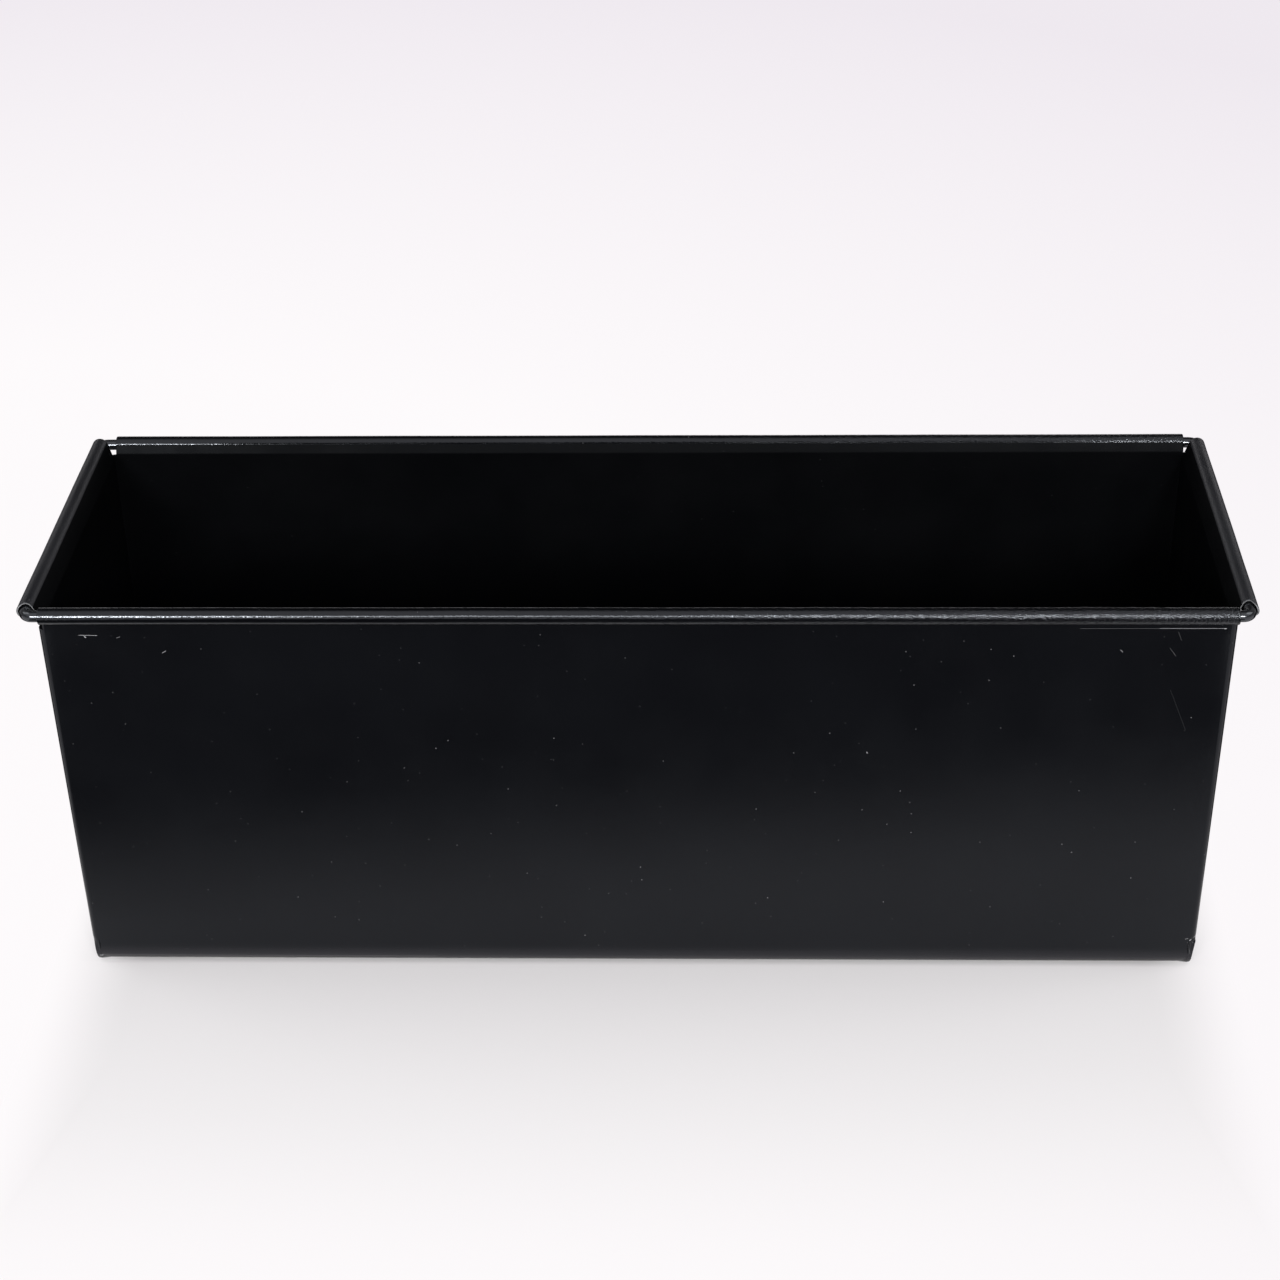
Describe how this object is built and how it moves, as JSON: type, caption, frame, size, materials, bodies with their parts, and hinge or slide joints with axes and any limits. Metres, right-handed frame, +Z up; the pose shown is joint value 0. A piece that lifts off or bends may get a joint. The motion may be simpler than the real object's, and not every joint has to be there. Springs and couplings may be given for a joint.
{
  "type": "pullman loaf pan body",
  "caption": "Long black loaf pan folded from one steel sheet, its rim curled round a wire, for a sliding cover.",
  "frame": {"origin": "centre of the underside, on the surface that the pan stands on", "axes": "+X along the pan's length, +Y across it towards the back, +Z up out of its open top"},
  "size_m": [0.3388, 0.116, 0.122],
  "materials": {
    "nonstick_coated_steel": "satin black non-stick coating, slightly grainy",
    "coated_rim_wire": "glossier black coating over round steel wire"
  },
  "bodies": {
    "root": {"pan_body": "nonstick_coated_steel", "rim_wire": "coated_rim_wire"}
  },
  "joints": []
}
